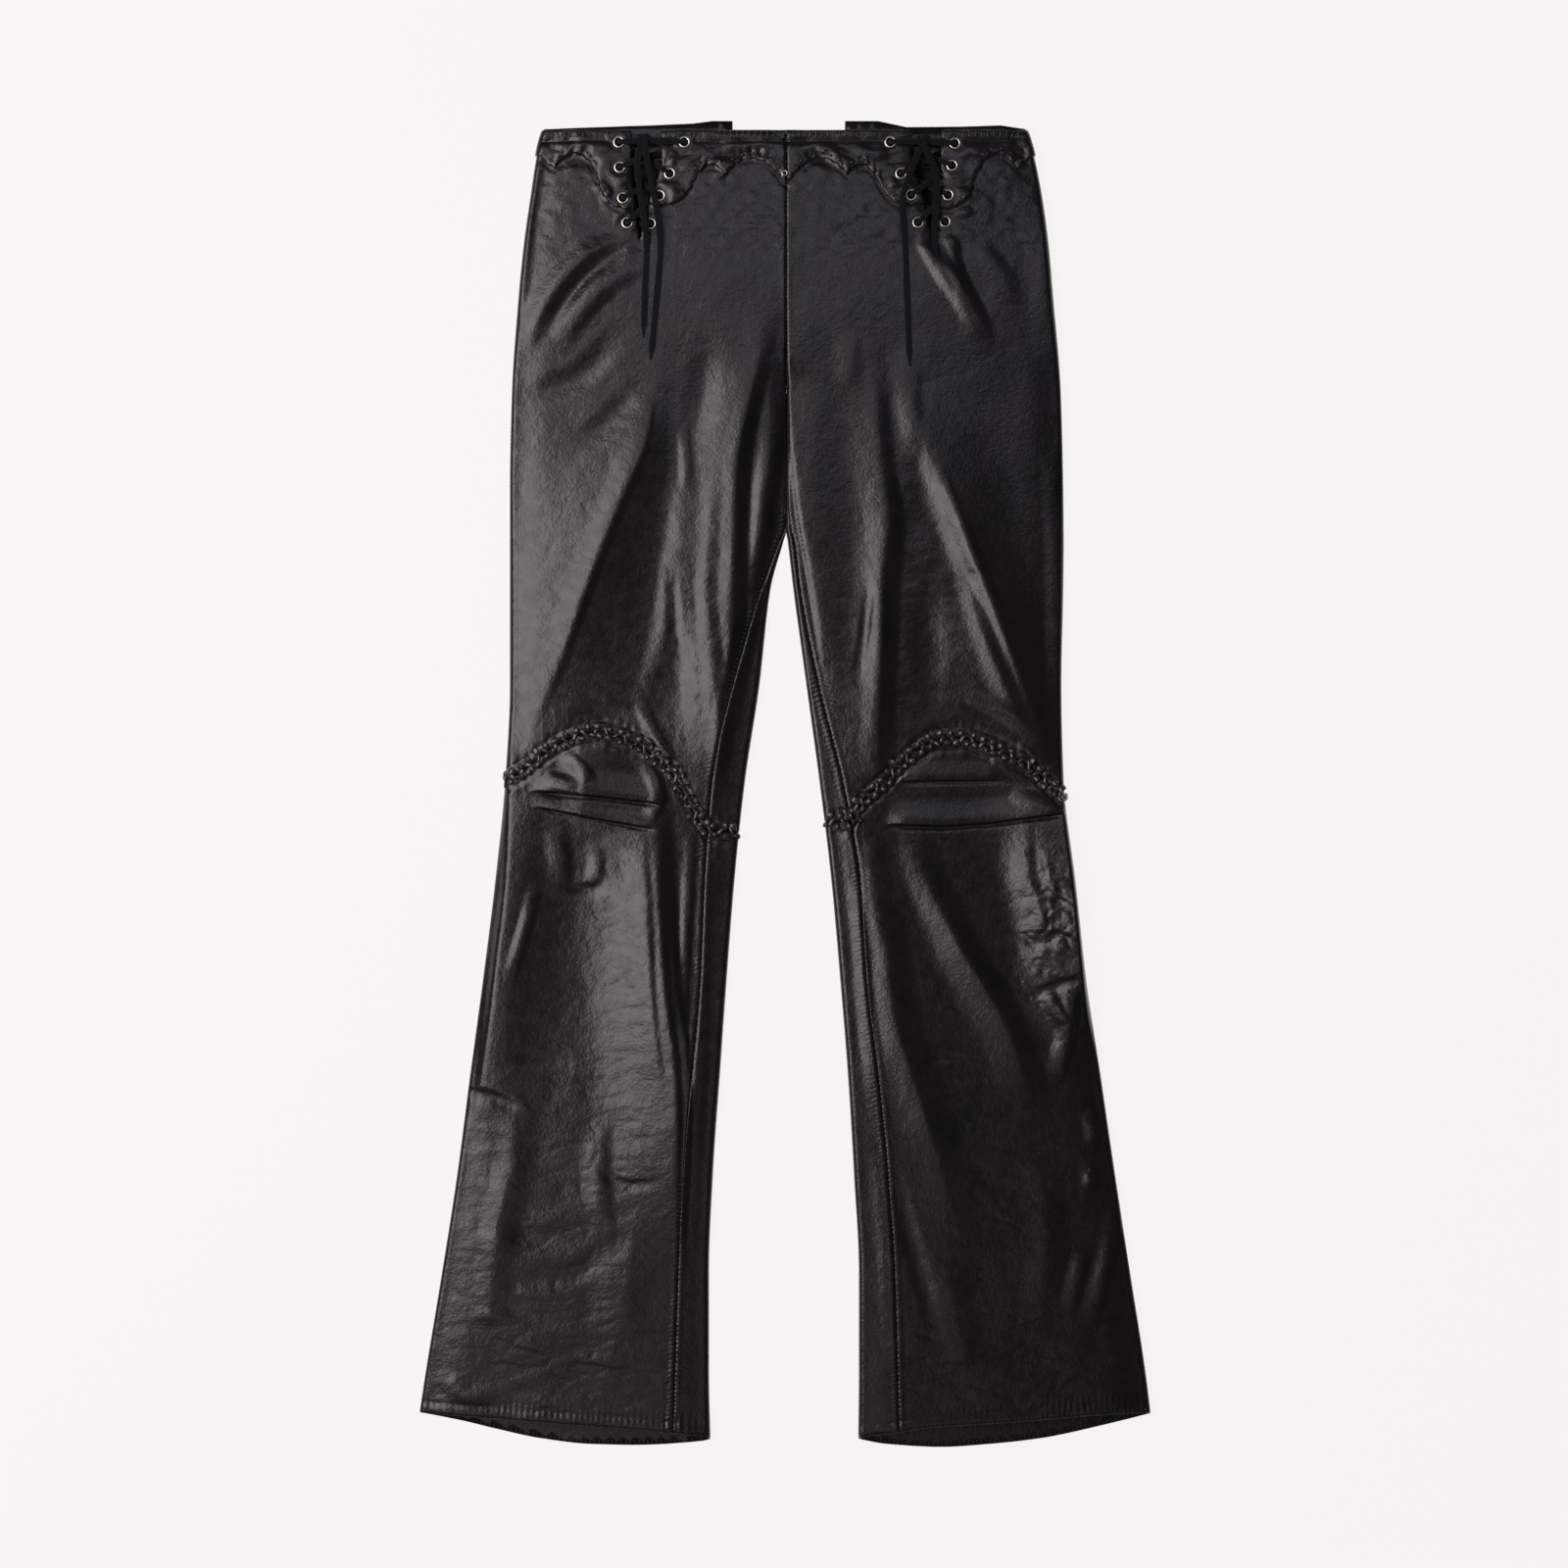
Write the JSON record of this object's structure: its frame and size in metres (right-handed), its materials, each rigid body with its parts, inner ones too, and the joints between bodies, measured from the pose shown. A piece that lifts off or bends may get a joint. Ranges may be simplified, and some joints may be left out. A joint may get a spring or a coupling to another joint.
{
  "type": "leather trousers",
  "caption": "Low-rise black leather trousers with flared legs, laid flat front up, with laced V slits at the waist and laced seams over the knees.",
  "frame": {"origin": "on the surface it lies on, under the middle of its bounding box", "axes": "+Y up the garment from hem to waist, +Z out of the front, +X to the viewer's right"},
  "size_m": [0.5687, 1.0309, 0.0196],
  "materials": {
    "leather": "semi-gloss black grain leather",
    "lacing": "semi-gloss black leather thong",
    "lace": "matt black suede",
    "nickel": "polished nickel"
  },
  "bodies": {
    "root": {"back_calf_left": "leather", "back_calf_right": "leather", "back_thigh_left": "leather", "back_thigh_right": "leather", "back_waistband_left": "leather", "back_waistband_right": "leather", "eyelet_left_inner_1": "nickel", "eyelet_left_inner_2": "nickel", "eyelet_left_inner_3": "nickel", "eyelet_left_inner_4": "nickel", "eyelet_left_outer_1": "nickel", "eyelet_left_outer_2": "nickel", "eyelet_left_outer_3": "nickel", "eyelet_left_outer_4": "nickel", "eyelet_right_inner_1": "nickel", "eyelet_right_inner_2": "nickel", "eyelet_right_inner_3": "nickel", "eyelet_right_inner_4": "nickel", "eyelet_right_outer_1": "nickel", "eyelet_right_outer_2": "nickel", "eyelet_right_outer_3": "nickel", "eyelet_right_outer_4": "nickel", "front_rivet": "nickel", "front_shin_left": "leather", "front_shin_right": "leather", "front_thigh_left": "leather", "front_thigh_right": "leather", "front_waistband_left": "leather", "front_waistband_right": "leather", "knee_lacing_left": "lacing", "knee_lacing_right": "lacing", "lace_end_left_1": "lace", "lace_end_left_2": "lace", "lace_end_right_1": "lace", "lace_end_right_2": "lace", "lace_knot_left": "lace", "lace_knot_right": "lace", "lace_left_first": "lace", "lace_left_second": "lace", "lace_right_first": "lace", "lace_right_second": "lace", "side_waistband_left": "leather", "side_waistband_right": "leather"}
  },
  "joints": []
}
